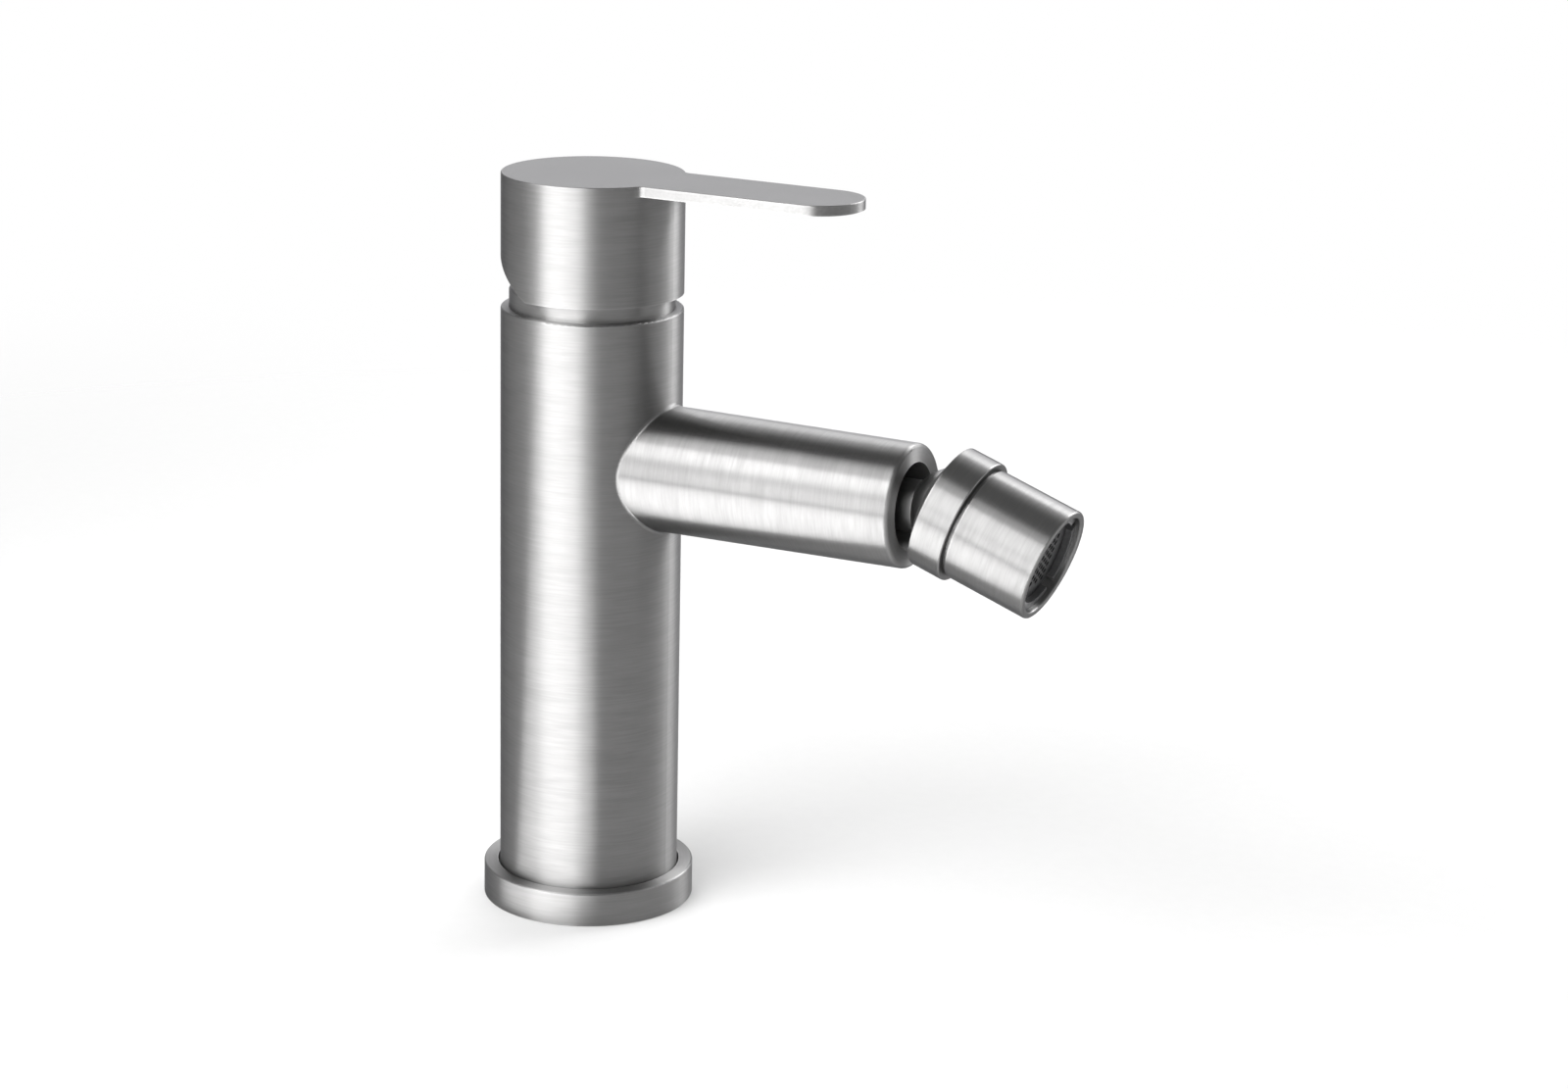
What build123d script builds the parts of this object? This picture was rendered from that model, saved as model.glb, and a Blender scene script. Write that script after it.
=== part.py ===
"""Single-lever bidet mixer with a horizontal spout and a swivelling ball-jointed nozzle.

Millimetres. Z is the body axis and up, X runs along the spout and the lever.
The origin is on the body axis in the plane of the deck, the underside of the base ring.
"""

import os
from math import cos, hypot, radians, sin, sqrt

from build123d import *

os.makedirs("parts", exist_ok=True)

# Clearances shared by many fits
slip = 0.05  # running or sliding fit, on the radius or between faces
free = 0.3  # between surfaces of revolution that only pass each other
overrun = 2.0  # how far a cut runs past the face that it starts from

# Base ring and foot
ring_r = 23.55
ring_h = 7.5
ring_floor = 3.0  # the body stands on this floor
ring_gap = 0.45  # dark gap between body and ring
ring_edge = 0.4
deck_hole_r = 16.0  # hoses and stud pass through it
gasket_in_r = 17.6
gasket_out_r = 22.2
gasket_t = 1.5
seal_up = 1.2  # seal groove above the ring floor
seal_h = 1.6
seal_w = 1.4  # radial width of the seal
seal_edge = 0.35

# Body
body_r = 20.0
body_top = 135.2
body_edge = 0.4
inlet_r = 4.5  # core radius of the M10 x 1 inlet threads
inlet_x = -5.0
inlet_y = 8.2
inlet_l = 12.0
stud_r = 3.4  # core radius of the M8 stud thread
stud_x = 10.0
stud_l = 16.0

# Spout
spout_drop = 34.0  # spout's axis below the body's top
spout_root_r = 14.0
spout_tip_r = 13.4
spout_reach = 78.6
spout_edge = 0.9
spout_root_fillet = 0.8
spout_bore_r = 9.45
spout_bore_l = 18.6
spout_channel_r = 7.0
spout_channel_x = 1.5  # where the water channel starts
spout_channel_end = spout_reach - spout_bore_l

# Ball stem
stem_washer_t = 1.5
stem_washer_w = 2.1
plug_l = 7.5
spanner_hole_r = 1.1
spanner_hole_l = 3.0
neck_r = 5.8
ball_r = 9.45
ball_out = 9.4  # ball centre beyond the spout's end
stem_bore_r = 3.4
stem_flare = 1.4
groove_w = 2.0
groove_depth = 1.1
ball_x = spout_reach + ball_out

# Swivel nozzle, along its own axis from the ball centre
nozzle_tilt = 19.7  # degrees below the spout's axis
socket_gap = 0.15  # ball to its seats
collar_r = 13.7
collar_back = 2.8
collar_front = 4.7
collar_edge = 0.35
shadow_gap = 0.8  # dark groove between collar and nozzle
lip_r = 8.35
lip_back = 5.0
seat_back = 1.6
seat_front = 4.2
seat_r = 11.1
spigot_r = 11.9
nozzle_r = 12.5
nozzle_front = 24.3
nozzle_edge = 0.5
mouth_r = 10.9
throat_r = 5.6
chamber_s = 9.5

# Aerator, along the nozzle's axis
washer_t = 1.5
washer_in_r = 6.6
filter_t = 1.2
filter_hole_r = 0.7
filter_pitch = 2.2
aerator_wall = 1.5
aerator_recess = 1.3
notch_w = 2.6
notch_depth = 1.6
grid_recess = 1.4
grid_t = 1.2
grid_hole_r = 0.6
grid_pitch = 1.7

# Cartridge, stacked up from its seat in the body
cartridge_r = 12.5
port_r = 2.3
inlet_port_x = -4.4
inlet_port_y = 4.8
outlet_port_x = 5.2
port_seal_r = 3.5
port_seal_t = 1.2
base_floor = 2.5
base_rim = 2.2
disc_t = 2.6
fixed_disc_r = 9.75
moving_disc_r = 8.6
closed_x = -1.3  # centre of the moving disc when closed
pocket_r = 4.4
pocket_x = 3.4
pocket_depth = 1.3
carrier_t = 2.7
carrier_r = 9.2
carrier_half_w = 8.5
lug_w = 2.4
lug_depth = 1.4
rotor_r = 10.6
rotor_h = 8.0
rotor_neck_r = 9.4
rotor_neck_l = 6.3
rotor_skirt = 4.0
slot_back = 7.6
slot_front = 5.2
housing_lid = 2.0
flange_up = 13.5  # clamping flange above the seat
flange_t = 2.0
flange_r = 14.5
housing_neck_r = 12.0
oring_up = 6.5
oring_h = 1.8
oring_w = 1.0
nut_r = 15.0
nut_wall = 2.9
nut_h = 5.0
nut_slot_w = 3.0
nut_slot_depth = 1.5
nut_gap = 0.2  # between the nut and the trim ring's spigot

# Spindle, pinned across the rotor
pin_up = 6.0  # pin above the rotor's underside
pin_r = 1.25
pin_end_gap = 0.4
spindle_w = 7.0
finger_r = 1.1
finger_tip_r = 1.6
finger_l = 6.9  # pin to the finger tip's centre
finger_gap = 0.12

# Trim ring
trim_gap = 0.55  # inside of the cap to the neck
trim_wall = 1.2
trim_cover = 4.75  # width of the dome in plan
trim_spigot_l = 2.0
trim_spigot_wall = 1.5

# Lever handle
handle_gap = 3.4  # visible neck between body and handle
handle_r = 20.0
handle_h = 26.2
handle_wall = 1.27
handle_roof = 3.5
handle_edge = 0.3
lever_reach = 64.2
lever_root_half = 10.27
lever_tip_half = 10.16
lever_t = 2.23
lever_nose_over = 1.84  # nose arc's radius over half the tip's width
lever_corner_under = 0.76  # tip corners' radius under half the tip's width
lever_root_fillet = 2.4
hub_r = 8.0
hub_l = 11.8
hub_floor = 1.8  # hub left above the spindle's end
bridge_half_w = 4.5
bridge_h = 11.3
screw_down = 9.8  # set screw below the handle's top
screw_r = 2.5
screw_l = 6.0
screw_hex_r = 1.44
screw_hex_depth = 3.0
plug_r = 2.6
plug_depth = 1.6
plug_proud = 0.25
relief_start = 5.6  # lower rear relief, from the axis to where it starts
relief_mid_x = 12.9
relief_mid_up = 4.7
relief_up = 10.8  # relief above the handle's lower edge, at the rear

# Heights along the body axis
spout_z = body_top - spout_drop
nut_top = body_top - trim_spigot_l - nut_gap
seat_z = nut_top - nut_h - flange_t - flange_up
fixed_disc_z = seat_z + base_floor
moving_disc_z = fixed_disc_z + disc_t + slip
carrier_z = moving_disc_z + disc_t
rotor_z = carrier_z + carrier_t + slip
rotor_top = rotor_z + rotor_h
housing_z = fixed_disc_z + base_rim
housing_ceiling = rotor_top + slip
housing_top = housing_ceiling + housing_lid
flange_z = seat_z + flange_up
nut_z = flange_z + flange_t
pin_z = rotor_z + pin_up
handle_z = body_top + handle_gap
handle_top = handle_z + handle_h
ceiling_z = handle_top - handle_roof
hub_z = ceiling_z - hub_l
screw_z = handle_top - screw_down
spindle_top = ceiling_z - hub_floor

# Radii that follow from the fits
thread_bore_r = nut_r + slip
handle_in_r = handle_r - handle_wall
trim_r = handle_in_r - trim_gap
trim_hole_r = trim_r - trim_cover
dome_r = hypot(handle_in_r, handle_z - pin_z) - free
socket_r = ball_r + socket_gap
stem_plug_r = spout_bore_r - slip
housing_in_r = rotor_r + slip
aerator_r = mouth_r - slip
aerator_back = chamber_s + washer_t + filter_t
aerator_front = nozzle_front - aerator_recess
grid_front = aerator_front - grid_recess

# Axes and planes
tilt = radians(nozzle_tilt)
ball_centre = Vector(ball_x, 0, spout_z)
nozzle_dir = Vector(cos(tilt), 0, -sin(tilt))
nozzle_axis = Axis(ball_centre, nozzle_dir)
spout_axis = Axis((0, 0, spout_z), (1, 0, 0))
# In these planes the first coordinate runs along the axis and the second is the radius.
spout_plane = Plane(origin=(0, 0, spout_z), x_dir=(1, 0, 0), z_dir=(0, -1, 0))
ball_plane = Plane(origin=ball_centre, x_dir=(1, 0, 0), z_dir=(0, -1, 0))
nozzle_plane = Plane(origin=ball_centre, x_dir=nozzle_dir, z_dir=(0, -1, 0))


def nozzle_section(distance):
    """Plane square to the nozzle's axis at a distance from the ball centre."""
    return Plane(origin=ball_centre + nozzle_dir * distance, x_dir=(0, 1, 0), z_dir=nozzle_dir)


def spout_section(distance):
    """Plane square to the spout's axis at a distance from the body axis."""
    return Plane(origin=(distance, 0, spout_z), x_dir=(0, 1, 0), z_dir=(1, 0, 0))


def zone_width(distance, sphere_r):
    """Radius of a sphere's section at a distance from its centre, or the other way round."""
    return sqrt(sphere_r**2 - distance**2)


def zone_arc(sphere_r, start, end):
    """Arc of a sphere's profile about the ball centre, from one distance to another."""
    middle = (start + end) / 2
    return ThreePointArc(
        (start, zone_width(start, sphere_r)),
        (middle, zone_width(middle, sphere_r)),
        (end, zone_width(end, sphere_r)),
    )


def dome_height(radius, sphere_r):
    """Height of a sphere about the spindle pin, at a radius from the body axis."""
    return pin_z + sqrt(sphere_r**2 - radius**2)


# Base ring: raised wall round the foot, floor with the deck hole, gasket recess below
with BuildPart() as base_ring:
    with BuildSketch():
        Circle(ring_r)
    extrude(amount=ring_h)
    with BuildSketch(Plane.XY.offset(ring_floor)):
        Circle(body_r + ring_gap)
    extrude(amount=ring_h, mode=Mode.SUBTRACT)
    with BuildSketch():
        Circle(deck_hole_r)
    extrude(amount=ring_h, mode=Mode.SUBTRACT)
    with BuildSketch():
        Circle(gasket_out_r)
        Circle(gasket_in_r, mode=Mode.SUBTRACT)
    extrude(amount=gasket_t, mode=Mode.SUBTRACT)
    with BuildSketch(Plane.XY.offset(ring_floor + seal_up)):
        Circle(body_r + seal_w)
    extrude(amount=seal_h, mode=Mode.SUBTRACT)
    rim_edges = base_ring.faces().sort_by(Axis.Z)[-1].edges().sort_by(SortBy.RADIUS)
    fillet(rim_edges[-1], radius=ring_edge)
base_ring.part.label = "base_ring"
export_step(base_ring.part, "parts/base_ring.step")

# Gasket flush with the underside of the base ring
with BuildPart() as base_gasket:
    with BuildSketch():
        Circle(gasket_out_r)
        Circle(gasket_in_r, mode=Mode.SUBTRACT)
    extrude(amount=gasket_t)
base_gasket.part.label = "base_gasket"
export_step(base_gasket.part, "parts/base_gasket.step")

# Rubber ring that closes the gap between the body and the base ring
with BuildPart() as base_seal:
    with BuildSketch(Plane.XY.offset(ring_floor + seal_up)):
        Circle(body_r + seal_w)
        Circle(body_r, mode=Mode.SUBTRACT)
    extrude(amount=seal_h)
    fillet(base_seal.edges(), radius=seal_edge)
base_seal.part.label = "base_seal"
export_step(base_seal.part, "parts/base_seal.step")

# Body casting: upright cylinder and spout, with the waterways cut out of them
with BuildPart() as body:
    with BuildSketch(Plane.XY.offset(ring_floor)):
        Circle(body_r)
    extrude(amount=body_top - ring_floor)
    fillet(body.edges().sort_by(Axis.Z)[-1], radius=body_edge)
    with BuildSketch(spout_plane):
        with BuildLine():
            Polyline(
                (0, 0),
                (0, spout_root_r),
                (spout_reach, spout_tip_r),
                (spout_reach, 0),
                close=True,
            )
        make_face()
    revolve(axis=spout_axis)
    fillet(body.edges().sort_by(Axis.X)[-1], radius=spout_edge)
    root_edges = body.edges().filter_by(GeomType.BSPLINE)
    fillet(root_edges, radius=spout_root_fillet)
    # Mouth of the spout for the ball stem, and the water channel behind it
    with BuildSketch(spout_section(spout_reach)):
        Circle(spout_bore_r)
    extrude(amount=-spout_bore_l, mode=Mode.SUBTRACT)
    with BuildSketch(spout_section(spout_channel_end)):
        Circle(spout_channel_r)
    extrude(amount=spout_channel_x - spout_channel_end, mode=Mode.SUBTRACT)
    # Cartridge bore, thread for the nut, and the ports in the seat
    with BuildSketch(Plane.XY.offset(seat_z)):
        Circle(cartridge_r + slip)
    extrude(amount=body_top - seat_z + overrun, mode=Mode.SUBTRACT)
    with BuildSketch(Plane.XY.offset(flange_z)):
        Circle(thread_bore_r)
    extrude(amount=body_top - flange_z + overrun, mode=Mode.SUBTRACT)
    with BuildSketch(Plane.XY.offset(seat_z)):
        with Locations((outlet_port_x, 0)):
            Circle(port_r)
    extrude(amount=spout_z - seat_z, mode=Mode.SUBTRACT)
    with BuildSketch(Plane.XY.offset(ring_floor + inlet_l)):
        with Locations((inlet_port_x, inlet_port_y), (inlet_port_x, -inlet_port_y)):
            Circle(port_r)
    extrude(amount=seat_z - ring_floor - inlet_l, mode=Mode.SUBTRACT)
    # Threaded inlets and stud hole in the underside
    with BuildSketch(Plane.XY.offset(ring_floor)):
        with Locations((inlet_x, inlet_y), (inlet_x, -inlet_y)):
            Circle(inlet_r)
    extrude(amount=inlet_l, mode=Mode.SUBTRACT)
    with BuildSketch(Plane.XY.offset(ring_floor)):
        with Locations((stud_x, 0)):
            Circle(stud_r)
    extrude(amount=stud_l, mode=Mode.SUBTRACT)
body.part.label = "body"
export_step(body.part, "parts/body.step")

# Ball stem: threaded plug, neck and ball, bored through for the water
plug_back = spout_channel_end + stem_washer_t - ball_x
plug_front = plug_back + plug_l
groove_half = groove_w / 2
flare_depth = 2 * stem_flare
with BuildPart() as ball_stem:
    with BuildSketch(ball_plane):
        with BuildLine():
            Polyline(
                (plug_back, stem_bore_r),
                (plug_back, stem_plug_r),
                (plug_front, stem_plug_r),
                (plug_front, neck_r),
                (-zone_width(neck_r, ball_r), neck_r),
            )
            zone_arc(ball_r, -zone_width(neck_r, ball_r), -groove_half)
            Polyline(
                (-groove_half, zone_width(groove_half, ball_r)),
                (-groove_half, ball_r - groove_depth),
                (groove_half, ball_r - groove_depth),
                (groove_half, zone_width(groove_half, ball_r)),
            )
            mouth_x = zone_width(stem_bore_r + stem_flare, ball_r)
            zone_arc(ball_r, groove_half, mouth_x)
            Polyline(
                (mouth_x, stem_bore_r + stem_flare),
                (mouth_x - flare_depth, stem_bore_r),
                (plug_back, stem_bore_r),
            )
        make_face()
    revolve(axis=spout_axis)
    with BuildSketch(spout_section(ball_x + plug_front)):
        with PolarLocations((neck_r + stem_plug_r) / 2, 4, start_angle=45):
            Circle(spanner_hole_r)
    extrude(amount=-spanner_hole_l, mode=Mode.SUBTRACT)
ball_stem.part.label = "ball_stem"
export_step(ball_stem.part, "parts/ball_stem.step")

# Flat washer that seals the stem's plug against the shoulder in the spout
with BuildPart() as stem_washer:
    with BuildSketch(spout_section(spout_channel_end)):
        Circle(stem_plug_r)
        Circle(stem_plug_r - stem_washer_w, mode=Mode.SUBTRACT)
    extrude(amount=stem_washer_t)
stem_washer.part.label = "stem_washer"
export_step(stem_washer.part, "parts/stem_washer.step")

# O-ring in the groove round the ball, its outside a zone of a sphere
oring_half = groove_half - slip
with BuildPart() as ball_oring:
    with BuildSketch(ball_plane):
        with BuildLine():
            Polyline(
                (oring_half, zone_width(oring_half, ball_r + slip)),
                (oring_half, ball_r - groove_depth + slip),
                (-oring_half, ball_r - groove_depth + slip),
                (-oring_half, zone_width(oring_half, ball_r + slip)),
            )
            zone_arc(ball_r + slip, -oring_half, oring_half)
        make_face()
    revolve(axis=spout_axis)
ball_oring.part.label = "ball_oring"
export_step(ball_oring.part, "parts/ball_oring.step")

# Seat ring: the plastic bearing that the ball swivels in
with BuildPart() as seat_ring:
    with BuildSketch(nozzle_plane):
        with BuildLine():
            Polyline(
                (seat_front, zone_width(seat_front, socket_r)),
                (seat_front, seat_r),
                (-seat_back, seat_r),
                (-seat_back, zone_width(seat_back, socket_r)),
            )
            zone_arc(socket_r, -seat_back, seat_front)
        make_face()
    revolve(axis=nozzle_axis)
seat_ring.part.label = "seat_ring"
export_step(seat_ring.part, "parts/seat_ring.step")

# Collar: screwed over the nozzle's spigot, its lip holds the ball from behind
shoulder = seat_back + slip
with BuildPart() as collar:
    with BuildSketch(nozzle_plane):
        with BuildLine():
            Polyline(
                (-zone_width(lip_r, socket_r), lip_r),
                (-lip_back, lip_r),
                (-collar_back, collar_r),
                (collar_front, collar_r),
                (collar_front, spigot_r + slip),
                (-shoulder, spigot_r + slip),
                (-shoulder, zone_width(shoulder, socket_r)),
            )
            zone_arc(socket_r, -shoulder, -zone_width(lip_r, socket_r))
        make_face()
    revolve(axis=nozzle_axis)
    rims = collar.edges().filter_by(GeomType.CIRCLE).group_by(SortBy.RADIUS)[-1]
    fillet(rims, radius=collar_edge)
collar.part.label = "collar"
export_step(collar.part, "parts/collar.step")

# Nozzle housing: spigot over the seat ring, throat, and the aerator's chamber
throat_gap_r = socket_r + free
seat_stop = seat_front + slip
nozzle_back = collar_front + shadow_gap
with BuildPart() as nozzle_housing:
    with BuildSketch(nozzle_plane):
        with BuildLine():
            Polyline(
                (seat_stop, zone_width(seat_stop, throat_gap_r)),
                (seat_stop, seat_r + slip),
                (-seat_back, seat_r + slip),
                (-seat_back, spigot_r),
                (nozzle_back, spigot_r),
                (nozzle_back, nozzle_r),
                (nozzle_front, nozzle_r),
                (nozzle_front, mouth_r),
                (chamber_s, mouth_r),
                (chamber_s, throat_r),
                (zone_width(throat_r, throat_gap_r), throat_r),
            )
            zone_arc(throat_gap_r, zone_width(throat_r, throat_gap_r), seat_stop)
        make_face()
    revolve(axis=nozzle_axis)
    front_rims = nozzle_housing.faces().sort_by(nozzle_axis)[-1].edges()
    fillet(front_rims, radius=nozzle_edge)
nozzle_housing.part.label = "nozzle_housing"
export_step(nozzle_housing.part, "parts/nozzle_housing.step")

# Rubber washer behind the aerator
with BuildPart() as aerator_washer:
    with BuildSketch(nozzle_section(chamber_s)):
        Circle(aerator_r)
        Circle(washer_in_r, mode=Mode.SUBTRACT)
    extrude(amount=washer_t)
aerator_washer.part.label = "aerator_washer"
export_step(aerator_washer.part, "parts/aerator_washer.step")

# Perforated filter disc between the washer and the aerator housing
with BuildPart() as aerator_filter:
    with BuildSketch(nozzle_section(chamber_s + washer_t)):
        Circle(aerator_r)
        with HexLocations(filter_pitch / 2, 5, 5):
            Circle(filter_hole_r, mode=Mode.SUBTRACT)
    extrude(amount=filter_t)
aerator_filter.part.label = "aerator_filter"
export_step(aerator_filter.part, "parts/aerator_filter.step")

# Aerator housing: tube in the mouth, with four key notches in its front edge
with BuildPart() as aerator_housing:
    with BuildSketch(nozzle_section(aerator_back)):
        Circle(aerator_r)
        Circle(aerator_r - aerator_wall, mode=Mode.SUBTRACT)
    extrude(amount=aerator_front - aerator_back)
    with BuildSketch(nozzle_section(aerator_front)):
        with PolarLocations(aerator_r, 4, start_angle=45):
            Rectangle(aerator_wall * 4, notch_w)
    extrude(amount=-notch_depth, mode=Mode.SUBTRACT)
aerator_housing.part.label = "aerator_housing"
export_step(aerator_housing.part, "parts/aerator_housing.step")

# Outlet grid across the aerator housing
with BuildPart() as aerator_grid:
    with BuildSketch(nozzle_section(grid_front - grid_t)):
        Circle(aerator_r - aerator_wall)
        with HexLocations(grid_pitch / 2, 7, 7):
            Circle(grid_hole_r, mode=Mode.SUBTRACT)
    extrude(amount=grid_t)
aerator_grid.part.label = "aerator_grid"
export_step(aerator_grid.part, "parts/aerator_grid.step")

# Cartridge base with its three ports, seal recesses below and the disc recess above.
# Seen from the spout's side the hot port is on the left and the cold port on the right.
hot_port = (inlet_port_x, -inlet_port_y)
cold_port = (inlet_port_x, inlet_port_y)
outlet_port = (outlet_port_x, 0)
ports = [hot_port, cold_port, outlet_port]
with BuildPart() as cartridge_base:
    with BuildSketch(Plane.XY.offset(seat_z)):
        Circle(cartridge_r)
    extrude(amount=base_floor + base_rim)
    with BuildSketch(Plane.XY.offset(fixed_disc_z)):
        Circle(fixed_disc_r + slip)
    extrude(amount=base_rim, mode=Mode.SUBTRACT)
    with BuildSketch(Plane.XY.offset(seat_z)):
        with Locations(*ports):
            Circle(port_r)
    extrude(amount=base_floor, mode=Mode.SUBTRACT)
    with BuildSketch(Plane.XY.offset(seat_z)):
        with Locations(*ports):
            Circle(port_seal_r)
    extrude(amount=port_seal_t, mode=Mode.SUBTRACT)
cartridge_base.part.label = "cartridge_base"
export_step(cartridge_base.part, "parts/cartridge_base.step")


def port_seal(place):
    """Rubber ring round one port, in its recess under the cartridge base."""
    with BuildPart() as seal:
        with BuildSketch(Plane.XY.offset(seat_z)):
            with Locations(place):
                Circle(port_seal_r)
                Circle(port_r, mode=Mode.SUBTRACT)
        extrude(amount=port_seal_t)
    return seal.part


hot_seal = port_seal(hot_port)
hot_seal.label = "hot_seal"
export_step(hot_seal, "parts/hot_seal.step")

cold_seal = port_seal(cold_port)
cold_seal.label = "cold_seal"
export_step(cold_seal, "parts/cold_seal.step")

outlet_seal = port_seal(outlet_port)
outlet_seal.label = "outlet_seal"
export_step(outlet_seal, "parts/outlet_seal.step")

# Fixed ceramic disc
with BuildPart() as fixed_disc:
    with BuildSketch(Plane.XY.offset(fixed_disc_z)):
        Circle(fixed_disc_r)
        with Locations(*ports):
            Circle(port_r, mode=Mode.SUBTRACT)
    extrude(amount=disc_t)
fixed_disc.part.label = "fixed_disc"
export_step(fixed_disc.part, "parts/fixed_disc.step")

# Moving ceramic disc, with the mixing pocket below and two notches for the carrier's lugs
lug_y = moving_disc_r - lug_depth
with BuildPart() as moving_disc:
    with BuildSketch(Plane.XY.offset(moving_disc_z)):
        with Locations((closed_x, 0)):
            Circle(moving_disc_r)
    extrude(amount=disc_t)
    with BuildSketch(Plane.XY.offset(moving_disc_z)):
        with Locations((closed_x + pocket_x, 0)):
            Circle(pocket_r)
    extrude(amount=pocket_depth, mode=Mode.SUBTRACT)
    with BuildSketch(Plane.XY.offset(moving_disc_z + disc_t - lug_depth)):
        with Locations((closed_x, moving_disc_r), (closed_x, -moving_disc_r)):
            Rectangle(lug_w + 2 * slip, 2 * (lug_depth + slip))
    extrude(amount=lug_depth, mode=Mode.SUBTRACT)
moving_disc.part.label = "moving_disc"
export_step(moving_disc.part, "parts/moving_disc.step")

# Disc carrier: flat-sided plate, holed for the finger, with two lugs into the disc
with BuildPart() as disc_carrier:
    with BuildSketch(Plane.XY.offset(carrier_z)):
        with Locations((closed_x, 0)):
            Circle(carrier_r)
            Rectangle(2 * carrier_r, 2 * carrier_half_w, mode=Mode.INTERSECT)
        Circle(finger_tip_r + finger_gap, mode=Mode.SUBTRACT)
    extrude(amount=carrier_t)
    with BuildSketch(Plane.XY.offset(carrier_z)):
        with Locations((closed_x, lug_y + lug_depth / 2), (closed_x, -lug_y - lug_depth / 2)):
            Rectangle(lug_w, lug_depth - 2 * slip)
    extrude(amount=-(lug_depth - slip))
disc_carrier.part.label = "disc_carrier"
export_step(disc_carrier.part, "parts/disc_carrier.step")

# Rotor: turned by the handle, slotted for the spindle, with two skirts that guide the carrier
with BuildPart() as rotor:
    with BuildSketch(Plane.XY.offset(rotor_z)):
        Circle(rotor_r)
    extrude(amount=rotor_h)
    with BuildSketch(Plane.XY.offset(rotor_top)):
        Circle(rotor_neck_r)
    extrude(amount=rotor_neck_l)
    with BuildSketch(Plane.XY.offset(rotor_z)):
        Circle(rotor_r)
        Rectangle(2 * rotor_r, 2 * (carrier_half_w + slip), mode=Mode.SUBTRACT)
    extrude(amount=-rotor_skirt)
    with BuildSketch(Plane.XY.offset(rotor_z - rotor_skirt)):
        with Locations(((slot_front - slot_back) / 2, 0)):
            Rectangle(slot_front + slot_back, spindle_w + 2 * slip)
    extrude(amount=rotor_skirt + rotor_h + rotor_neck_l, mode=Mode.SUBTRACT)
    with BuildSketch(Plane.XZ):
        with Locations((0, pin_z)):
            Circle(pin_r)
    extrude(amount=rotor_r - pin_end_gap, both=True, mode=Mode.SUBTRACT)
rotor.part.label = "rotor"
export_step(rotor.part, "parts/rotor.step")

# Spindle pin
with BuildPart() as spindle_pin:
    with BuildSketch(Plane.XZ):
        with Locations((0, pin_z)):
            Circle(pin_r)
    extrude(amount=rotor_r - pin_end_gap, both=True)
spindle_pin.part.label = "spindle_pin"
export_step(spindle_pin.part, "parts/spindle_pin.step")

# Spindle: square bar above the pin, round finger with a ball end below it
with BuildPart() as spindle:
    with BuildSketch(Plane.XY.offset(pin_z - spindle_w / 2)):
        Rectangle(spindle_w, spindle_w)
    extrude(amount=spindle_top - pin_z + spindle_w / 2)
    with BuildSketch(Plane.XY.offset(pin_z)):
        Circle(finger_r)
    extrude(amount=-finger_l)
    with Locations((0, 0, pin_z - finger_l)):
        Sphere(finger_tip_r)
    with BuildSketch(Plane.XZ):
        with Locations((0, pin_z)):
            Circle(pin_r + slip / 2)
    extrude(amount=spindle_w, both=True, mode=Mode.SUBTRACT)
spindle.part.label = "spindle"
export_step(spindle.part, "parts/spindle.step")

# Cartridge housing with its clamping flange and the O-ring groove
with BuildPart() as cartridge_housing:
    with BuildSketch(Plane.XZ):
        with BuildLine():
            Polyline(
                (housing_in_r, housing_z),
                (cartridge_r, housing_z),
                (cartridge_r, flange_z),
                (flange_r, flange_z),
                (flange_r, nut_z),
                (housing_neck_r, nut_z),
                (housing_neck_r, housing_top),
                (rotor_neck_r + slip, housing_top),
                (rotor_neck_r + slip, housing_ceiling),
                (housing_in_r, housing_ceiling),
                close=True,
            )
        make_face()
    revolve(axis=Axis.Z)
    with BuildSketch(Plane.XY.offset(seat_z + oring_up)):
        Circle(cartridge_r + overrun)
        Circle(cartridge_r - oring_w, mode=Mode.SUBTRACT)
    extrude(amount=oring_h, mode=Mode.SUBTRACT)
cartridge_housing.part.label = "cartridge_housing"
export_step(cartridge_housing.part, "parts/cartridge_housing.step")

# O-ring between the cartridge housing and the body's bore
with BuildPart() as cartridge_oring:
    with BuildSketch(Plane.XY.offset(seat_z + oring_up)):
        Circle(cartridge_r + slip)
        Circle(cartridge_r - oring_w, mode=Mode.SUBTRACT)
    extrude(amount=oring_h)
    fillet(cartridge_oring.edges(), radius=oring_w / 3)
cartridge_oring.part.label = "cartridge_oring"
export_step(cartridge_oring.part, "parts/cartridge_oring.step")

# Cartridge nut, with four spanner slots
with BuildPart() as cartridge_nut:
    with BuildSketch(Plane.XY.offset(nut_z)):
        Circle(nut_r)
        Circle(nut_r - nut_wall, mode=Mode.SUBTRACT)
    extrude(amount=nut_h)
    with BuildSketch(Plane.XY.offset(nut_z + nut_h)):
        with PolarLocations(nut_r - nut_wall / 2, 4):
            Rectangle(nut_wall * 2, nut_slot_w)
    extrude(amount=-nut_slot_depth, mode=Mode.SUBTRACT)
cartridge_nut.part.label = "cartridge_nut"
export_step(cartridge_nut.part, "parts/cartridge_nut.step")

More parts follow.
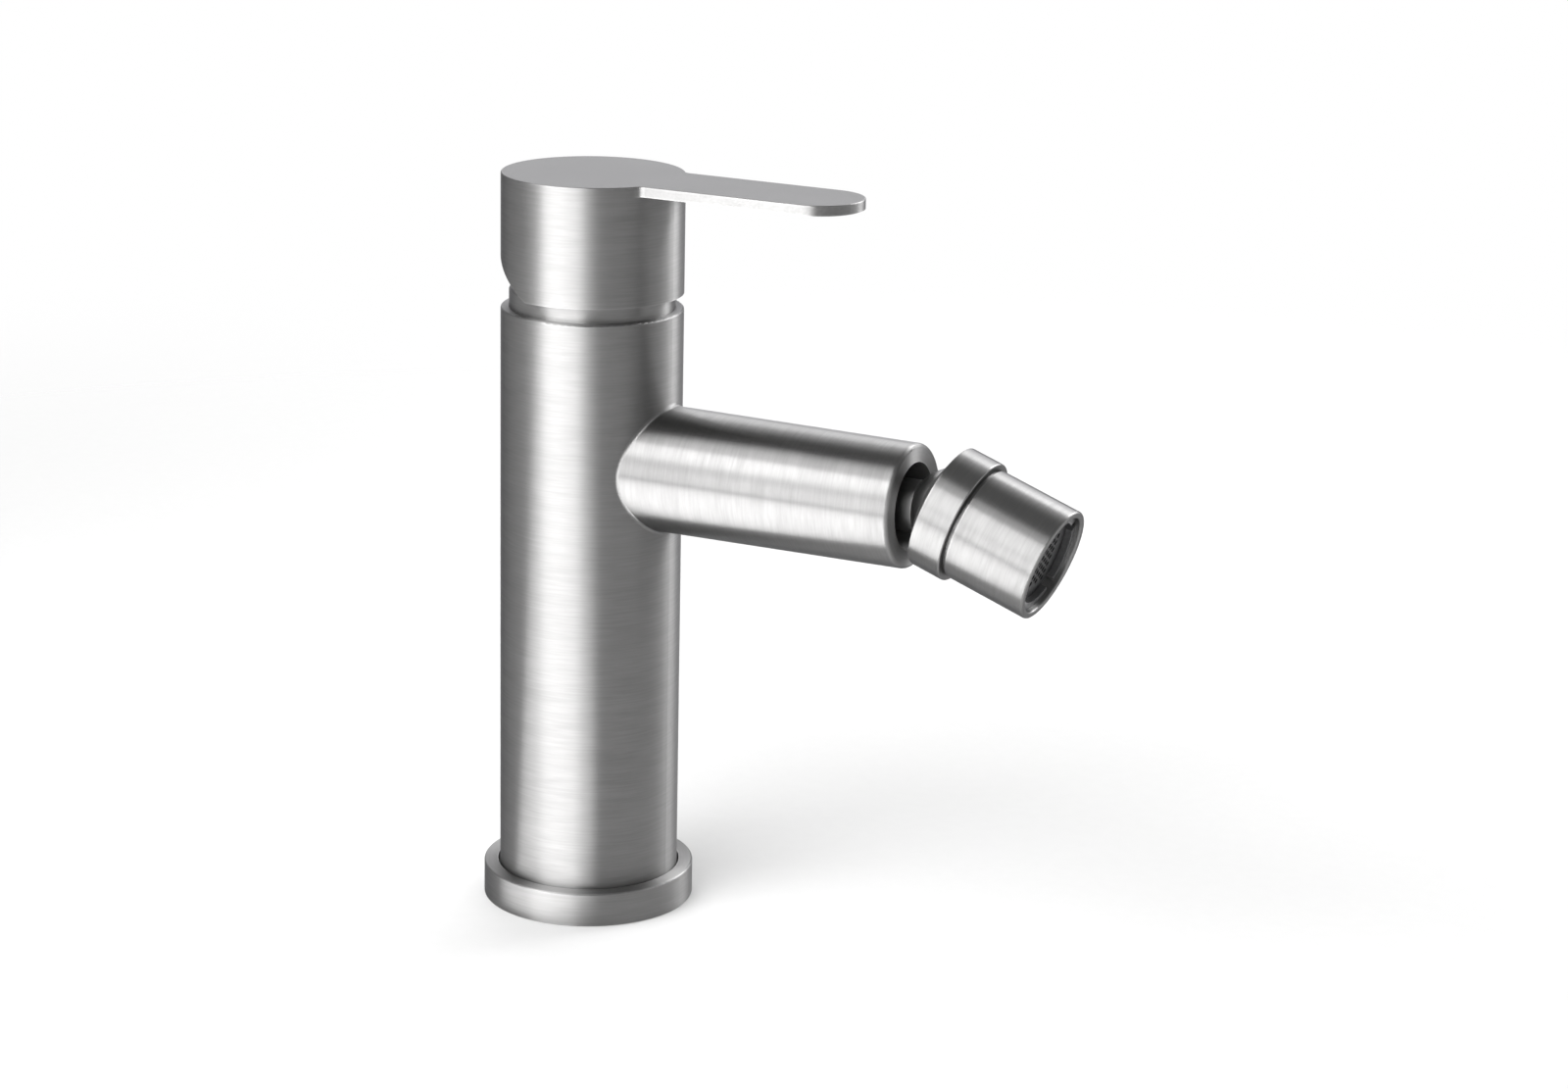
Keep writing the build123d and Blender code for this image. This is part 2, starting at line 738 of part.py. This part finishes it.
# Trim ring: spigot in the body's mouth, straight neck, and a dome about the spindle pin
trim_in_r = trim_r - trim_wall
dome_in_r = dome_r - trim_wall
trim_spigot_r = thread_bore_r - slip
with BuildPart() as trim_ring:
    with BuildSketch(Plane.XZ):
        with BuildLine():
            Polyline(
                (trim_r, dome_height(trim_r, dome_r)),
                (trim_r, body_top),
                (trim_spigot_r, body_top),
                (trim_spigot_r, body_top - trim_spigot_l),
                (trim_spigot_r - trim_spigot_wall, body_top - trim_spigot_l),
                (trim_spigot_r - trim_spigot_wall, body_top + trim_wall),
                (trim_in_r, body_top + trim_wall),
                (trim_in_r, dome_height(trim_in_r, dome_in_r)),
            )
            mid_r = (trim_in_r + trim_hole_r) / 2
            ThreePointArc(
                (trim_in_r, dome_height(trim_in_r, dome_in_r)),
                (mid_r, dome_height(mid_r, dome_in_r)),
                (trim_hole_r, dome_height(trim_hole_r, dome_in_r)),
            )
            Line(
                (trim_hole_r, dome_height(trim_hole_r, dome_in_r)),
                (trim_hole_r, dome_height(trim_hole_r, dome_r)),
            )
            ThreePointArc(
                (trim_hole_r, dome_height(trim_hole_r, dome_r)),
                (mid_r, dome_height(mid_r, dome_r)),
                (trim_r, dome_height(trim_r, dome_r)),
            )
        make_face()
    revolve(axis=Axis.Z)
trim_ring.part.label = "trim_ring"
export_step(trim_ring.part, "parts/trim_ring.step")

# Lever handle: hollow round cap and flat lever, their top faces in one plane
lever_nose_r = lever_tip_half + lever_nose_over
lever_corner_r = lever_tip_half - lever_corner_under
nose_x = lever_reach - lever_nose_r + sqrt(lever_nose_r**2 - lever_tip_half**2)
socket_w = spindle_w + 2 * slip
with BuildPart() as lever_handle:
    with BuildSketch(Plane.XY.offset(handle_z)):
        Circle(handle_r)
    extrude(amount=handle_h)
    with BuildSketch(Plane.XY.offset(handle_top - lever_t)) as plan:
        with BuildLine():
            Polyline(
                (nose_x, lever_tip_half),
                (0, lever_root_half),
                (0, -lever_root_half),
                (nose_x, -lever_tip_half),
            )
            ThreePointArc((nose_x, -lever_tip_half), (lever_reach, 0), (nose_x, lever_tip_half))
        make_face()
        fillet(plan.vertices().group_by(Axis.X)[-1], radius=lever_corner_r)
        Circle(handle_r)
        root_corners = plan.vertices().filter_by_position(Axis.X, handle_r / 2, handle_r)
        fillet(root_corners, radius=lever_root_fillet)
    extrude(amount=lever_t)
    fillet(lever_handle.faces().sort_by(Axis.Z)[-1].edges(), radius=handle_edge)
    # Cavity, then the hub for the spindle and the bridge that carries the set screw
    with BuildSketch(Plane.XY.offset(handle_z)):
        Circle(handle_in_r)
    extrude(amount=ceiling_z - handle_z, mode=Mode.SUBTRACT)
    with BuildSketch(Plane.XY.offset(hub_z)):
        Circle(hub_r)
    extrude(amount=hub_l)
    with BuildSketch(Plane.XY.offset(ceiling_z - bridge_h)):
        with Locations((-handle_in_r / 2, 0)):
            Rectangle(handle_in_r, 2 * bridge_half_w)
    extrude(amount=bridge_h)
    with BuildSketch(Plane.XY.offset(hub_z)):
        Rectangle(socket_w, socket_w)
    extrude(amount=spindle_top + slip - hub_z, mode=Mode.SUBTRACT)
    with BuildSketch(Plane.YZ):
        with Locations((0, screw_z)):
            Circle(screw_r)
    extrude(amount=-handle_r, mode=Mode.SUBTRACT)
    with BuildSketch(Plane.YZ.offset(-handle_r - overrun)):
        with Locations((0, screw_z)):
            Circle(plug_r)
    extrude(amount=overrun + plug_depth, mode=Mode.SUBTRACT)
    # Lower rear relief, which lets the cap tip back
    relief_end_x = -handle_r - overrun
    with BuildSketch(Plane.XZ):
        with BuildLine():
            ThreePointArc(
                (-relief_start, handle_z),
                (-relief_mid_x, handle_z + relief_mid_up),
                (-handle_r, handle_z + relief_up),
            )
            Polyline(
                (-handle_r, handle_z + relief_up),
                (relief_end_x, handle_z + relief_up),
                (relief_end_x, handle_z),
                (-relief_start, handle_z),
            )
        make_face()
    extrude(amount=handle_r, both=True, mode=Mode.SUBTRACT)
lever_handle.part.label = "lever_handle"
export_step(lever_handle.part, "parts/lever_handle.step")

# Set screw with a hexagon socket, against the rear face of the spindle
with BuildPart() as handle_screw:
    with BuildSketch(Plane.YZ.offset(-socket_w / 2)):
        with Locations((0, screw_z)):
            Circle(screw_r - slip)
    extrude(amount=-screw_l)
    with BuildSketch(Plane.YZ.offset(-socket_w / 2 - screw_l)):
        with Locations((0, screw_z)):
            RegularPolygon(screw_hex_r, 6)
    extrude(amount=screw_hex_depth, mode=Mode.SUBTRACT)
handle_screw.part.label = "handle_screw"
export_step(handle_screw.part, "parts/handle_screw.step")

# Index plug over the set screw's hole, a little proud of the cap
with BuildPart() as index_plug:
    with BuildSketch(Plane.YZ.offset(-handle_r + plug_depth)):
        with Locations((0, screw_z)):
            Circle(plug_r - slip)
    extrude(amount=-plug_depth - plug_proud)
    fillet(index_plug.edges().sort_by(Axis.X)[0], radius=plug_proud)
index_plug.part.label = "index_plug"
export_step(index_plug.part, "parts/index_plug.step")
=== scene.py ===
from math import cos, pi, radians, sin

import bpy
from mathutils import Matrix, Vector

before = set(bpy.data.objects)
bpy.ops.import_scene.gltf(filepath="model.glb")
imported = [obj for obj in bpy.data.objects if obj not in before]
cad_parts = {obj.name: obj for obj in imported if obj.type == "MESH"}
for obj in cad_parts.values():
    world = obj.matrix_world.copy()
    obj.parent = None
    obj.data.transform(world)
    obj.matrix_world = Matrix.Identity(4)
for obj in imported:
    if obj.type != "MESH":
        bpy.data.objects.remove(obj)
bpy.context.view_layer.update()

MM = 0.001

# Places and axes that the brushing follows, in metres as in the frame
SPOUT_Z = 101.2 * MM
BALL_X = 88.0 * MM
NOZZLE_TILT = radians(19.7)
BODY_REACH = 20.1 * MM  # just outside the body's cylinder, where the spout begins
Z_AXIS = (0.0, 0.0, 1.0)
X_AXIS = (1.0, 0.0, 0.0)
NOZZLE_AXIS = (cos(NOZZLE_TILT), 0.0, -sin(NOZZLE_TILT))
ORIGIN = (0.0, 0.0, 0.0)
SPOUT = (0.0, 0.0, SPOUT_Z)
BALL = (BALL_X, 0.0, SPOUT_Z)

# Camera, fitted to the edges of the object in the photograph
IMAGE_W = 1600.0
CAM_PLACE = (0.38262, -0.65803, 0.29910)
CAM_TURN = radians(26.976)
CAM_PITCH = radians(14.680)
CAM_ROLL = radians(1.218)
CAM_FOCAL_PX = 3634.9
CAM_SHIFT_Y = -0.05
SENSOR = 36.0

# Brushed metal
STEEL = 0.24
STEM_STEEL = 0.26
GRAZING_TINT = (0.34, 0.34, 0.35, 1.0)  # the metal darkens where it is seen edge on
BRUSHED_ROUGH = 0.46
FINE_ROUGH = 0.36  # spout and nozzle
TRIM_ROUGH = 0.4
SATIN_ROUGH = 0.42
TURNED_ROUGH = 0.5  # ring top and spout mouth
STRETCH = 0.93  # anisotropy
LINES_PER_M = 2600.0
LINE_BUMP = 0.17
LINE_DEPTH = 0.00002
WARMTH = 0.006
LINE_TONE = (0.945, 1.045)
LINE_ROUGH = 0.035  # roughness differs by this much from line to line
PATCH_SCALE = 38.0
PATCH_TONE = (0.975, 1.02)
GRAIN_SCALE = 5200.0
FLAT_FACING = (0.55, 0.8)  # share of the normal along the axis, from side to flat face
BRANCH_BLEND = 0.0003

# Edges: paler and smoother from wear, and the paler tone is also a painted highlight along them
EDGE_CLOSENESS = (0.995, 0.93)  # of rounded and true normal, from open face to edge
BRUSHED_EDGE = 0.0005
BRUSHED_EDGE_WEAR_AND_HIGHLIGHT = 0.3
BRUSHED_EDGE_POLISH = 0.08
PLAIN_EDGE = 0.0004
PLAIN_EDGE_WEAR_AND_HIGHLIGHT = 0.22
PLAIN_EDGE_POLISH = 0.06

# Plain stock
MOTTLE_SCALE = 60.0
MOTTLE_TONE = (0.95, 1.04)
PLAIN_DEPTH = 0.00003

# Floor
FLOOR_R = 0.9
FLOOR_RINGS = 24
FLOOR_SPOKES = 96
FLOOR_AT = (0.03, 0.0, -0.0001)
FLOOR_GREY = 0.68
FLOOR_FADE = (0.24, 0.72)  # the floor turns into the pale surroundings between these radii

# Surroundings: pale low down, dim above, with a soft patch behind the object
PALE_TO = (radians(9), radians(15))
DIM = 0.28
PATCH_LEVEL = 0.76
PATCH_AZIMUTH = radians(92)
PATCH_ELEVATION = radians(22)
PATCH_EDGE = (radians(52), radians(22))

LAMP_AIM = (0.03, 0.0, 0.08)
CARD_UP = 0.0004


class Nodes:
    """Short calls for building one node tree."""

    def __init__(self, tree):
        self.tree = tree

    def add(self, kind, **values):
        node = self.tree.nodes.new(kind)
        for key, value in values.items():
            setattr(node, key, value)
        return node

    def put(self, socket, value):
        """Link a socket, or set a plain value. None leaves the socket as it is."""
        if isinstance(value, bpy.types.NodeSocket):
            self.tree.links.new(value, socket)
        elif value is not None:
            socket.default_value = value

    def math(self, operation, a, b=None, clamp=False):
        node = self.add("ShaderNodeMath", operation=operation, use_clamp=clamp)
        for socket, value in zip(node.inputs, (a, b)):
            self.put(socket, value)
        return node.outputs[0]

    def vec(self, operation, a, b=None, scale=None):
        node = self.add("ShaderNodeVectorMath", operation=operation)
        self.put(node.inputs[0], a)
        self.put(node.inputs[1], b)
        if scale is not None:
            self.put(node.inputs["Scale"], scale)
        return node.outputs["Value" if operation in ("DOT_PRODUCT", "LENGTH") else "Vector"]

    def ramp(self, value, low, high, out_low=0.0, out_high=1.0):
        """Smooth step from one range to another."""
        node = self.add("ShaderNodeMapRange", interpolation_type="SMOOTHSTEP")
        self.put(node.inputs["Value"], value)
        numbers = {"From Min": low, "From Max": high, "To Min": out_low, "To Max": out_high}
        for name, number in numbers.items():
            self.put(node.inputs[name], number)
        return node.outputs["Result"]

    def noise(self, vector, scale, detail=2.0, rough=0.5, w=None):
        node = self.add("ShaderNodeTexNoise", noise_dimensions="3D" if w is None else "4D")
        self.put(node.inputs["Vector"], vector)
        if w is not None:
            self.put(node.inputs["W"], w)
        self.put(node.inputs["Scale"], scale)
        self.put(node.inputs["Detail"], detail)
        self.put(node.inputs["Roughness"], rough)
        return node.outputs[0]

    def blend(self, factor, a, b):
        """a where the factor is 0, b where it is 1."""
        kept = self.math("MULTIPLY", a, self.math("SUBTRACT", 1.0, factor))
        return self.math("ADD", kept, self.math("MULTIPLY", b, factor))

    def blend_vec(self, factor, a, b):
        """The same for vectors."""
        kept = self.vec("SCALE", a, scale=self.math("SUBTRACT", 1.0, factor))
        return self.vec("ADD", kept, self.vec("SCALE", b, scale=factor))

    def relief(self, height, strength, depth):
        node = self.add("ShaderNodeBump")
        self.put(node.inputs["Strength"], strength)
        self.put(node.inputs["Distance"], depth)
        self.put(node.inputs["Height"], height)
        return node.outputs[0]


def grey(level, warm=0.0):
    """Neutral colour, a little warm if asked."""
    return (level * (1 + warm), level, level * (1 - warm))


def new_material(name):
    material = bpy.data.materials.new(name)
    material.use_nodes = True
    material.node_tree.nodes.clear()
    kit = Nodes(material.node_tree)
    shader = kit.add("ShaderNodeBsdfPrincipled")
    output = kit.add("ShaderNodeOutputMaterial")
    kit.tree.links.new(shader.outputs[0], output.inputs[0])
    return material, kit, shader


def edge_mask(kit, radius):
    """1 along outer and inner edges, 0 on open faces."""
    bevel = kit.add("ShaderNodeBevel", samples=4)
    kit.put(bevel.inputs["Radius"], radius)
    normal = kit.add("ShaderNodeNewGeometry").outputs["Normal"]
    closeness = kit.vec("DOT_PRODUCT", bevel.outputs[0], normal)
    return kit.ramp(closeness, *EDGE_CLOSENESS)


def round_axis(kit, coords, origin, axis):
    """Brushing round one axis: the lines' height, flat faces' share, radius and outward way."""
    place = kit.vec("SUBTRACT", coords.outputs["Object"], origin)
    along = kit.vec("DOT_PRODUCT", place, axis)
    radial = kit.vec("SUBTRACT", place, kit.vec("SCALE", axis, scale=along))
    radius = kit.vec("LENGTH", radial)
    around = kit.vec("NORMALIZE", radial)
    facing = kit.math("ABSOLUTE", kit.vec("DOT_PRODUCT", coords.outputs["Normal"], axis))
    flat = kit.ramp(facing, *FLAT_FACING)

    def lines(turn_scale, density, w_density, detail, rough):
        # Short steps along the axis and the radius, long steps round the axis
        step = kit.vec("SCALE", axis, scale=kit.math("MULTIPLY", along, density))
        at = kit.vec("ADD", kit.vec("SCALE", around, scale=turn_scale), step)
        return kit.noise(at, 1.0, detail, rough, kit.math("MULTIPLY", radius, w_density))

    fine = lines(2.2, LINES_PER_M, LINES_PER_M, 3.0, 0.6)
    broad = lines(1.3, LINES_PER_M * 0.16, LINES_PER_M * 0.1, 2.0, 0.5)
    height = kit.math("ADD", kit.math("MULTIPLY", fine, 0.72), kit.math("MULTIPLY", broad, 0.28))
    return height, flat, radius, around


def brushed(
    name,
    base,
    origin,
    axis,
    rough=BRUSHED_ROUGH,
    stretch=STRETCH,
    flat_rough=SATIN_ROUGH,
    turned=False,
    branch=None,
):
    """Fine brushing that runs round an axis.

    Faces square to the axis get a satin grain, or the same rings if they are turned.
    branch is (origin, axis, radius, rough): beyond that radius from the first axis, the
    brushing runs round this second one.
    """
    material, kit, shader = new_material(name)
    coords = kit.add("ShaderNodeTexCoord")
    height, flat, radius, around = round_axis(kit, coords, origin, axis)
    direction = axis
    if branch:
        branch_origin, branch_axis, limit, branch_rough = branch
        branch_height, branch_flat, _, branch_around = round_axis(
            kit, coords, branch_origin, branch_axis
        )
        outside = kit.ramp(radius, limit, limit + BRANCH_BLEND)
        height = kit.blend(outside, height, branch_height)
        flat = kit.blend(outside, flat, branch_flat)
        around = kit.blend_vec(outside, around, branch_around)
        direction = kit.blend_vec(outside, axis, branch_axis)
    grain = kit.noise(coords.outputs["Object"], GRAIN_SCALE, 2.0, 0.6)
    patch = kit.noise(coords.outputs["Object"], PATCH_SCALE, 3.0, 0.55)
    pattern = height if turned else kit.blend(flat, height, grain)
    edge_wear_and_highlight = edge_mask(kit, BRUSHED_EDGE)
    # Colour: differs from line to line and from patch to patch, and is paler on the edges,
    # partly from wear and partly as a painted highlight
    tone = kit.ramp(pattern, 0.3, 0.7, *LINE_TONE)
    tone = kit.math("MULTIPLY", tone, kit.ramp(patch, 0.3, 0.7, *PATCH_TONE))
    # Paler edges: partly wear, partly a painted highlight along the rounded edges
    tone = kit.math("ADD", tone, kit.math("MULTIPLY", edge_wear_and_highlight, BRUSHED_EDGE_WEAR_AND_HIGHLIGHT))
    kit.put(shader.inputs["Base Color"], kit.vec("SCALE", grey(base, WARMTH), scale=tone))
    shader.inputs["Metallic"].default_value = 1.0
    shader.inputs["Specular Tint"].default_value = GRAZING_TINT
    side_rough = kit.ramp(pattern, 0.25, 0.75, rough + LINE_ROUGH, rough - LINE_ROUGH)
    if branch:
        far_range = (branch_rough + LINE_ROUGH, branch_rough - LINE_ROUGH)
        far_rough = kit.ramp(pattern, 0.25, 0.75, *far_range)
        side_rough = kit.blend(outside, side_rough, far_rough)
    face_rough = kit.ramp(grain, 0.25, 0.75, flat_rough + 0.05, flat_rough - 0.04)
    mixed = kit.blend(flat, side_rough, face_rough)
    polish = kit.math("MULTIPLY", edge_wear_and_highlight, BRUSHED_EDGE_POLISH)
    kit.put(shader.inputs["Roughness"], kit.math("SUBTRACT", mixed, polish, clamp=True))
    # Highlights stretch across the brushing: along the axis, and outward on turned faces
    if turned:
        direction = kit.blend_vec(flat, direction, around)
        shader.inputs["Anisotropic"].default_value = stretch
    else:
        stretched = kit.math("MULTIPLY", kit.math("SUBTRACT", 1.0, flat), stretch)
        kit.put(shader.inputs["Anisotropic"], stretched)
    turn = kit.add(
        "ShaderNodeVectorTransform",
        vector_type="VECTOR",
        convert_from="OBJECT",
        convert_to="WORLD",
    )
    kit.put(turn.inputs[0], direction)
    kit.put(shader.inputs["Tangent"], turn.outputs[0])
    kit.put(shader.inputs["Normal"], kit.relief(pattern, LINE_BUMP, LINE_DEPTH))
    return material


def plain(
    name,
    colour,
    rough,
    metallic=0.0,
    scale=900.0,
    spread=0.12,
    bump=0.15,
    coat=0.0,
):
    """Moulded or turned stock with a fine grain, slow mottling, and edges paler from rubbing and
    from a painted highlight.
    """
    material, kit, shader = new_material(name)
    coords = kit.add("ShaderNodeTexCoord")
    grain = kit.noise(coords.outputs["Object"], scale, 3.0, 0.6)
    slow = kit.noise(coords.outputs["Object"], MOTTLE_SCALE, 2.0, 0.5)
    edge_wear_and_highlight = edge_mask(kit, PLAIN_EDGE)
    speckle = kit.ramp(grain, 0.3, 0.7, 1 - spread, 1 + spread)
    tone = kit.math("MULTIPLY", speckle, kit.ramp(slow, 0.3, 0.7, *MOTTLE_TONE))
    # Paler edges: partly wear, partly a painted highlight
    tone = kit.math("ADD", tone, kit.math("MULTIPLY", edge_wear_and_highlight, PLAIN_EDGE_WEAR_AND_HIGHLIGHT))
    kit.put(shader.inputs["Base Color"], kit.vec("SCALE", colour, scale=tone))
    shader.inputs["Metallic"].default_value = metallic
    shader.inputs["Coat Weight"].default_value = coat
    face_rough = kit.ramp(grain, 0.25, 0.75, rough + 0.06, rough - 0.05)
    polish = kit.math("MULTIPLY", edge_wear_and_highlight, PLAIN_EDGE_POLISH)
    kit.put(shader.inputs["Roughness"], kit.math("SUBTRACT", face_rough, polish, clamp=True))
    kit.put(shader.inputs["Normal"], kit.relief(grain, bump, PLAIN_DEPTH))
    return material


# Brushed round the upright axis on the body, and round the spout's axis on the spout
body_metal = brushed(
    "mat_body",
    STEEL,
    ORIGIN,
    Z_AXIS,
    flat_rough=TURNED_ROUGH,
    turned=True,
    branch=(SPOUT, X_AXIS, BODY_REACH, FINE_ROUGH),
)
ring_metal = brushed("mat_ring", STEEL, ORIGIN, Z_AXIS, flat_rough=TURNED_ROUGH, turned=True)
handle_metal = brushed("mat_handle", STEEL, ORIGIN, Z_AXIS)
trim_metal = brushed("mat_trim", STEEL, ORIGIN, Z_AXIS, rough=TRIM_ROUGH)
nozzle_metal = brushed("mat_nozzle", STEEL, BALL, NOZZLE_AXIS, rough=FINE_ROUGH)
stem_metal = brushed("mat_stem", STEM_STEEL, BALL, X_AXIS, rough=0.32, stretch=0.2)
screw_steel = plain("mat_screw", (0.16, 0.16, 0.165), 0.3, metallic=1.0)
brass = plain("mat_brass", (0.72, 0.52, 0.25), 0.28, metallic=1.0)
rubber = plain("mat_rubber", (0.012, 0.012, 0.013), 0.6, bump=0.3)
ceramic = plain("mat_ceramic", (0.82, 0.81, 0.78), 0.16, scale=2000.0, spread=0.03, bump=0.04)
white_plastic = plain("mat_white_plastic", (0.78, 0.78, 0.76), 0.42, spread=0.04)
grey_plastic = plain("mat_grey_plastic", (0.3, 0.31, 0.32), 0.45, spread=0.06)
dark_plastic = plain("mat_dark_plastic", (0.085, 0.085, 0.087), 0.34)
black_plastic = plain("mat_black_plastic", (0.012, 0.012, 0.013), 0.5)
index_red = plain("mat_index", (0.55, 0.02, 0.02), 0.25, coat=0.6, spread=0.05)

nodes_of = (
    (body_metal, ("body",)),
    (ring_metal, ("base_ring",)),
    (handle_metal, ("lever_handle",)),
    (trim_metal, ("trim_ring",)),
    (nozzle_metal, ("collar", "nozzle_housing")),
    (stem_metal, ("ball_stem",)),
    (screw_steel, ("spindle_pin", "handle_screw")),
    (brass, ("cartridge_nut", "spindle")),
    (
        rubber,
        (
            "base_seal",
            "base_gasket",
            "hot_seal",
            "cold_seal",
            "outlet_seal",
            "cartridge_oring",
            "stem_washer",
            "ball_oring",
            "aerator_washer",
        ),
    ),
    (ceramic, ("fixed_disc", "moving_disc")),
    (white_plastic, ("rotor", "disc_carrier", "seat_ring", "aerator_filter")),
    (grey_plastic, ("cartridge_base", "cartridge_housing")),
    (dark_plastic, ("aerator_housing",)),
    (black_plastic, ("aerator_grid",)),
    (index_red, ("index_plug",)),
)
for material, names in nodes_of:
    for name in names:
        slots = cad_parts[name].data.materials
        slots.clear()
        slots.append(material)


def link(thing):
    bpy.context.scene.collection.objects.link(thing)
    return thing


def make_floor():
    """Round pale floor whose rim fades into the pale surroundings."""
    points, faces = [(0.0, 0.0, 0.0)], []
    for ring in range(1, FLOOR_RINGS + 1):
        reach = FLOOR_R * ring / FLOOR_RINGS
        for spoke in range(FLOOR_SPOKES):
            turn = radians(360.0 * spoke / FLOOR_SPOKES)
            points.append((reach * cos(turn), reach * sin(turn), 0.0))
    for spoke in range(FLOOR_SPOKES):
        after = (spoke + 1) % FLOOR_SPOKES
        faces.append((0, 1 + spoke, 1 + after))
        for ring in range(FLOOR_RINGS - 1):
            near, far = 1 + ring * FLOOR_SPOKES, 1 + (ring + 1) * FLOOR_SPOKES
            faces.append((near + spoke, far + spoke, far + after, near + after))
    mesh = bpy.data.meshes.new("floor")
    mesh.from_pydata(points, [], faces)
    floor = link(bpy.data.objects.new("floor", mesh))
    floor.location = FLOOR_AT
    material, kit, shader = new_material("mat_floor")
    coords = kit.add("ShaderNodeTexCoord")
    grain = kit.noise(coords.outputs["Object"], 260.0, 3.0, 0.5)
    tone = kit.ramp(grain, 0.3, 0.7, 0.99, 1.0)
    kit.put(shader.inputs["Base Color"], kit.vec("SCALE", grey(FLOOR_GREY), scale=tone))
    shader.inputs["Roughness"].default_value = 0.9
    shader.inputs["Specular IOR Level"].default_value = 0.1
    reach = kit.vec("LENGTH", coords.outputs["Object"])
    kit.put(shader.inputs["Alpha"], kit.ramp(reach, *FLOOR_FADE, 1.0, 0.0))
    mesh.materials.append(material)


def toward(azimuth, elevation):
    """Unit vector from the object in this direction, in radians."""
    flat = cos(elevation)
    return Vector((cos(azimuth) * flat, sin(azimuth) * flat, sin(elevation)))


def make_world():
    """Pale round the horizon and below it, dim overhead, with one soft patch behind."""
    world = bpy.data.worlds.new("studio")
    bpy.context.scene.world = world
    world.use_nodes = True
    world.node_tree.nodes.clear()
    kit = Nodes(world.node_tree)
    direction = kit.add("ShaderNodeTexCoord").outputs["Generated"]
    parts = kit.add("ShaderNodeSeparateXYZ")
    kit.put(parts.inputs[0], direction)
    low = kit.ramp(parts.outputs["Z"], sin(PALE_TO[0]), sin(PALE_TO[1]), 1.0, 0.0)
    patch_at = tuple(toward(PATCH_AZIMUTH, PATCH_ELEVATION))
    nearness = kit.vec("DOT_PRODUCT", direction, patch_at)
    patch = kit.ramp(nearness, cos(PATCH_EDGE[0]), cos(PATCH_EDGE[1]))
    high = kit.math("ADD", DIM, kit.math("MULTIPLY", patch, PATCH_LEVEL))
    background = kit.add("ShaderNodeBackground")
    kit.put(background.inputs["Color"], (1.0, 1.0, 1.0, 1.0))
    kit.put(background.inputs["Strength"], kit.blend(low, high, 1.0))
    output = kit.add("ShaderNodeOutputWorld")
    kit.tree.links.new(background.outputs[0], output.inputs[0])


def area_lamp(name, shape, width, height, radiance):
    """Lamp with the same brightness all over, unseen by the camera."""
    lamp = bpy.data.lights.new(name, "AREA")
    lamp.shape = shape
    lamp.size, lamp.size_y = width, height
    area = width * height * (pi / 4 if shape == "ELLIPSE" else 1.0)
    lamp.energy = radiance * area * pi
    holder = link(bpy.data.objects.new(name, lamp))
    holder.visible_camera = False
    return holder


def panel(name, azimuth, elevation, distance, width, height, radiance):
    """Soft rectangular lamp that faces the object."""
    holder = area_lamp(name, "RECTANGLE", width, height, radiance)
    back = toward(radians(azimuth), radians(elevation))
    holder.location = Vector(LAMP_AIM) + back * distance
    holder.rotation_mode = "QUATERNION"
    holder.rotation_quaternion = back.to_track_quat("Z", "Y")


def card(name, azimuth, reach, width, depth, radiance, twist):
    """Bright oval card that lies on the floor before the object and faces up.

    It points at the object, less the twist, so that its near tip also shows in the base ring.
    """
    holder = area_lamp(name, "ELLIPSE", width, depth, radiance)
    a = radians(azimuth)
    holder.matrix_world = (
        Matrix.Translation((reach * cos(a), reach * sin(a), CARD_UP))
        @ Matrix.Rotation(a + radians(90 + twist), 4, "Z")
        @ Matrix.Rotation(radians(180), 4, "X")
    )


def make_camera():
    data = bpy.data.cameras.new("camera")
    camera = link(bpy.data.objects.new("camera", data))
    right = Vector((cos(CAM_TURN), sin(CAM_TURN), 0.0))
    level = Vector((-sin(CAM_TURN), cos(CAM_TURN), 0.0))
    ahead = level * cos(CAM_PITCH) - Vector(Z_AXIS) * sin(CAM_PITCH)
    up = right.cross(ahead)
    rolled_right = right * cos(CAM_ROLL) + up * sin(CAM_ROLL)
    rolled_up = up * cos(CAM_ROLL) - right * sin(CAM_ROLL)
    turn = Matrix((rolled_right, rolled_up, -ahead)).transposed().to_4x4()
    camera.matrix_world = Matrix.Translation(CAM_PLACE) @ turn
    data.sensor_width = SENSOR
    data.lens = CAM_FOCAL_PX / IMAGE_W * SENSOR
    data.shift_y = CAM_SHIFT_Y
    data.clip_start, data.clip_end = 0.01, 50.0
    bpy.context.scene.camera = camera


make_floor()
make_world()
#     name, azimuth, elevation, distance, width, height, radiance
panel("key", -101.0, 24.0, 0.55, 0.52, 0.62, 4.0)
panel("high", -130.0, 49.0, 0.55, 0.44, 0.46, 3.15)
panel("back", 100.0, 27.0, 0.95, 1.40, 0.60, 3.0)
panel("rim", 64.0, 21.0, 0.60, 0.20, 0.56, 4.4)
#    name, azimuth, reach, width, depth, radiance, twist
card("card", -105.0, 0.3255, 0.30, 0.60, 4.1, -2.0)
make_camera()
bpy.context.scene.view_settings.view_transform = "Standard"
